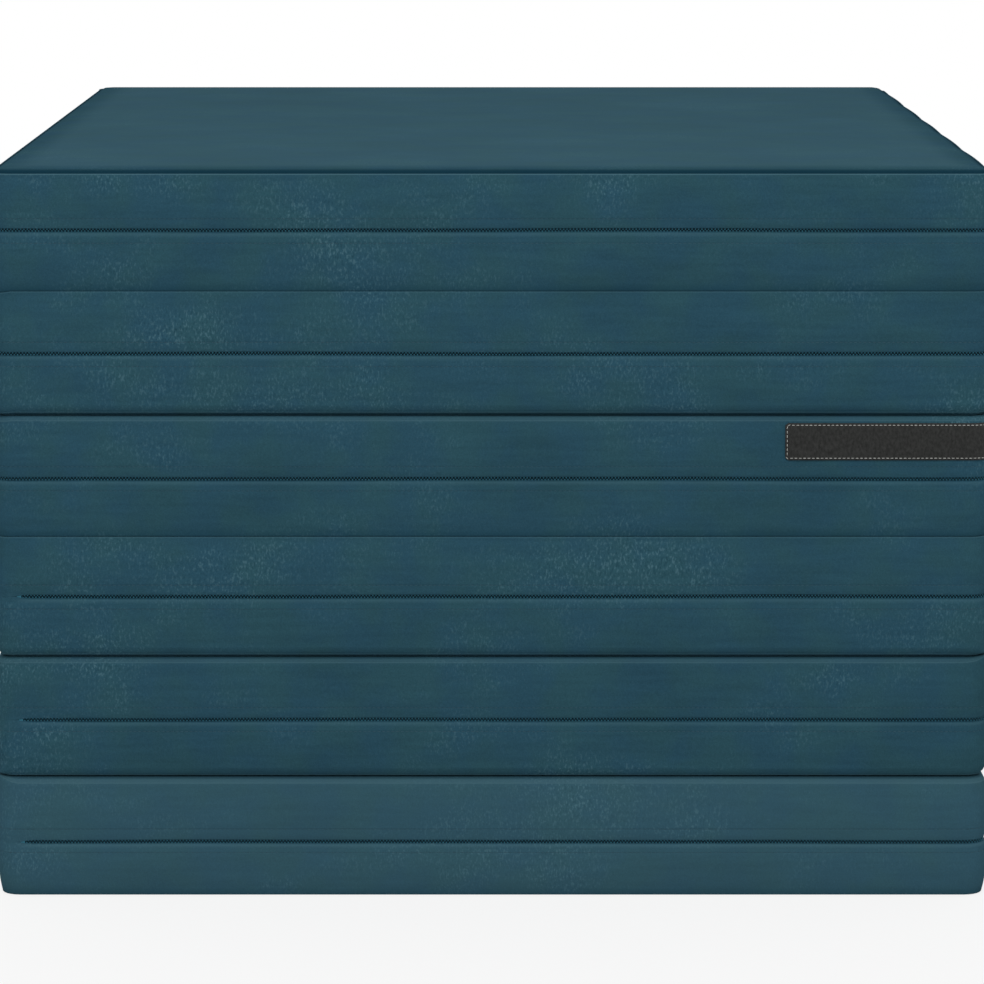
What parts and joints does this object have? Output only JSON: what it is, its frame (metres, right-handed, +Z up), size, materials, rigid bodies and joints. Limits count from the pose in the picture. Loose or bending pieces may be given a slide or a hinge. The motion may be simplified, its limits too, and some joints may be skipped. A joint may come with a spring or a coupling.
{
  "type": "folding sofa bed",
  "caption": "Folding foam sofa bed: a low stack of zipped velour panels joined by cloth strips, which opens to a bench, a single or a double bed.",
  "frame": {"origin": "on the floor, under the middle of the folded stack", "axes": "+X to the right seen from the front, +Y from the front to the back, +Z up"},
  "size_m": [0.6628, 0.8024, 0.482],
  "materials": {
    "velour": "matte",
    "foam": "matte",
    "zip_tape": "matte",
    "zip_teeth": "satin",
    "zip_metal": "satin",
    "joining_cloth": "matte",
    "label_canvas": "matte"
  },
  "bodies": {
    "panel_1": {"panel_1_foam_core": "foam", "panel_1_upper_cover": "velour", "panel_1_lower_cover": "velour", "panel_1_zip_tapes": "zip_tape", "panel_1_zip_coils": "zip_teeth", "fold_1_lower_strip": "joining_cloth"},
    "slider_1": {"panel_1_zip_slider": "zip_metal"},
    "pull_1": {"panel_1_zip_pull": "zip_metal"},
    "panel_2": {"panel_2_foam_core": "foam", "panel_2_upper_cover": "velour", "panel_2_lower_cover": "velour", "panel_2_zip_tapes": "zip_tape", "panel_2_zip_coils": "zip_teeth", "fold_1_upper_strip": "joining_cloth", "fold_2_lower_strip": "joining_cloth"},
    "slider_2": {"panel_2_zip_slider": "zip_metal"},
    "pull_2": {"panel_2_zip_pull": "zip_metal"},
    "panel_3": {"panel_3_foam_core": "foam", "panel_3_upper_cover": "velour", "panel_3_lower_cover": "velour", "panel_3_zip_tapes": "zip_tape", "panel_3_zip_coils": "zip_teeth", "fold_2_upper_strip": "joining_cloth", "fold_3_lower_strip": "joining_cloth"},
    "slider_3": {"panel_3_zip_slider": "zip_metal"},
    "pull_3": {"panel_3_zip_pull": "zip_metal"},
    "panel_4": {"panel_4_foam_core": "foam", "panel_4_upper_cover": "velour", "panel_4_lower_cover": "velour", "panel_4_zip_tapes": "zip_tape", "panel_4_zip_coils": "zip_teeth", "fold_3_upper_strip": "joining_cloth", "fold_4_lower_strip": "joining_cloth", "label_patch": "label_canvas"},
    "slider_4": {"panel_4_zip_slider": "zip_metal"},
    "pull_4": {"panel_4_zip_pull": "zip_metal"},
    "panel_5": {"panel_5_foam_core": "foam", "panel_5_upper_cover": "velour", "panel_5_lower_cover": "velour", "panel_5_zip_tapes": "zip_tape", "panel_5_zip_coils": "zip_teeth", "fold_4_upper_strip": "joining_cloth", "fold_5_lower_strip": "joining_cloth"},
    "slider_5": {"panel_5_zip_slider": "zip_metal"},
    "pull_5": {"panel_5_zip_pull": "zip_metal"},
    "panel_6": {"panel_6_foam_core": "foam", "panel_6_upper_cover": "velour", "panel_6_lower_cover": "velour", "panel_6_zip_tapes": "zip_tape", "panel_6_zip_coils": "zip_teeth", "fold_5_upper_strip": "joining_cloth"},
    "slider_6": {"panel_6_zip_slider": "zip_metal"},
    "pull_6": {"panel_6_zip_pull": "zip_metal"}
  },
  "joints": [
    {"name": "fold_1", "type": "hinge", "parent": "panel_1", "child": "panel_2", "pos_m": [-0.332, 0, 0.0802], "axis": [0, -1, 0], "range_deg": [0, 180]},
    {"name": "fold_2", "type": "hinge", "parent": "panel_2", "child": "panel_3", "pos_m": [0.332, 0, 0.1606], "axis": [0, -1, 0], "range_deg": [-180, 0]},
    {"name": "fold_3", "type": "hinge", "parent": "panel_3", "child": "panel_4", "pos_m": [0, 0.402, 0.241], "axis": [-1, 0, 0], "range_deg": [0, 180]},
    {"name": "fold_4", "type": "hinge", "parent": "panel_4", "child": "panel_5", "pos_m": [0.332, 0, 0.3214], "axis": [0, 1, 0], "range_deg": [0, 180]},
    {"name": "fold_5", "type": "hinge", "parent": "panel_5", "child": "panel_6", "pos_m": [-0.332, 0, 0.4018], "axis": [0, 1, 0], "range_deg": [-180, 0]},
    {"name": "zip_1_slide", "type": "slide", "parent": "panel_1", "child": "slider_1", "axis": [0, -1, 0], "range_m": [0, 0.6909]},
    {"name": "zip_1_tab", "type": "hinge", "parent": "slider_1", "child": "pull_1", "pos_m": [0.33055, 0.3144, 0.04], "axis": [0, 0, 1], "range_deg": [0, 180]},
    {"name": "zip_2_slide", "type": "slide", "parent": "panel_2", "child": "slider_2", "axis": [0, -1, 0], "range_m": [0, 0.6909]},
    {"name": "zip_2_tab", "type": "hinge", "parent": "slider_2", "child": "pull_2", "pos_m": [0.33055, 0.3144, 0.1204], "axis": [0, 0, 1], "range_deg": [0, 180]},
    {"name": "zip_3_slide", "type": "slide", "parent": "panel_3", "child": "slider_3", "axis": [0, -1, 0], "range_m": [0, 0.6909]},
    {"name": "zip_3_tab", "type": "hinge", "parent": "slider_3", "child": "pull_3", "pos_m": [0.33055, 0.3144, 0.2008], "axis": [0, 0, 1], "range_deg": [0, 180]},
    {"name": "zip_4_slide", "type": "slide", "parent": "panel_4", "child": "slider_4", "axis": [0, -1, 0], "range_m": [0, 0.6909]},
    {"name": "zip_4_tab", "type": "hinge", "parent": "slider_4", "child": "pull_4", "pos_m": [0.33055, 0.3144, 0.2812], "axis": [0, 0, 1], "range_deg": [0, 180]},
    {"name": "zip_5_slide", "type": "slide", "parent": "panel_5", "child": "slider_5", "axis": [0, -1, 0], "range_m": [0, 0.6909]},
    {"name": "zip_5_tab", "type": "hinge", "parent": "slider_5", "child": "pull_5", "pos_m": [0.33055, 0.3144, 0.3616], "axis": [0, 0, 1], "range_deg": [0, 180]},
    {"name": "zip_6_slide", "type": "slide", "parent": "panel_6", "child": "slider_6", "axis": [0, -1, 0], "range_m": [0, 0.6909]},
    {"name": "zip_6_tab", "type": "hinge", "parent": "slider_6", "child": "pull_6", "pos_m": [0.33055, 0.3144, 0.442], "axis": [0, 0, 1], "range_deg": [0, 180]}
  ],
  "couplings": [
    {"joint": "fold_2", "follows": "fold_1", "ratio": -1},
    {"joint": "fold_4", "follows": "fold_1", "ratio": 1},
    {"joint": "fold_5", "follows": "fold_1", "ratio": -1}
  ]
}
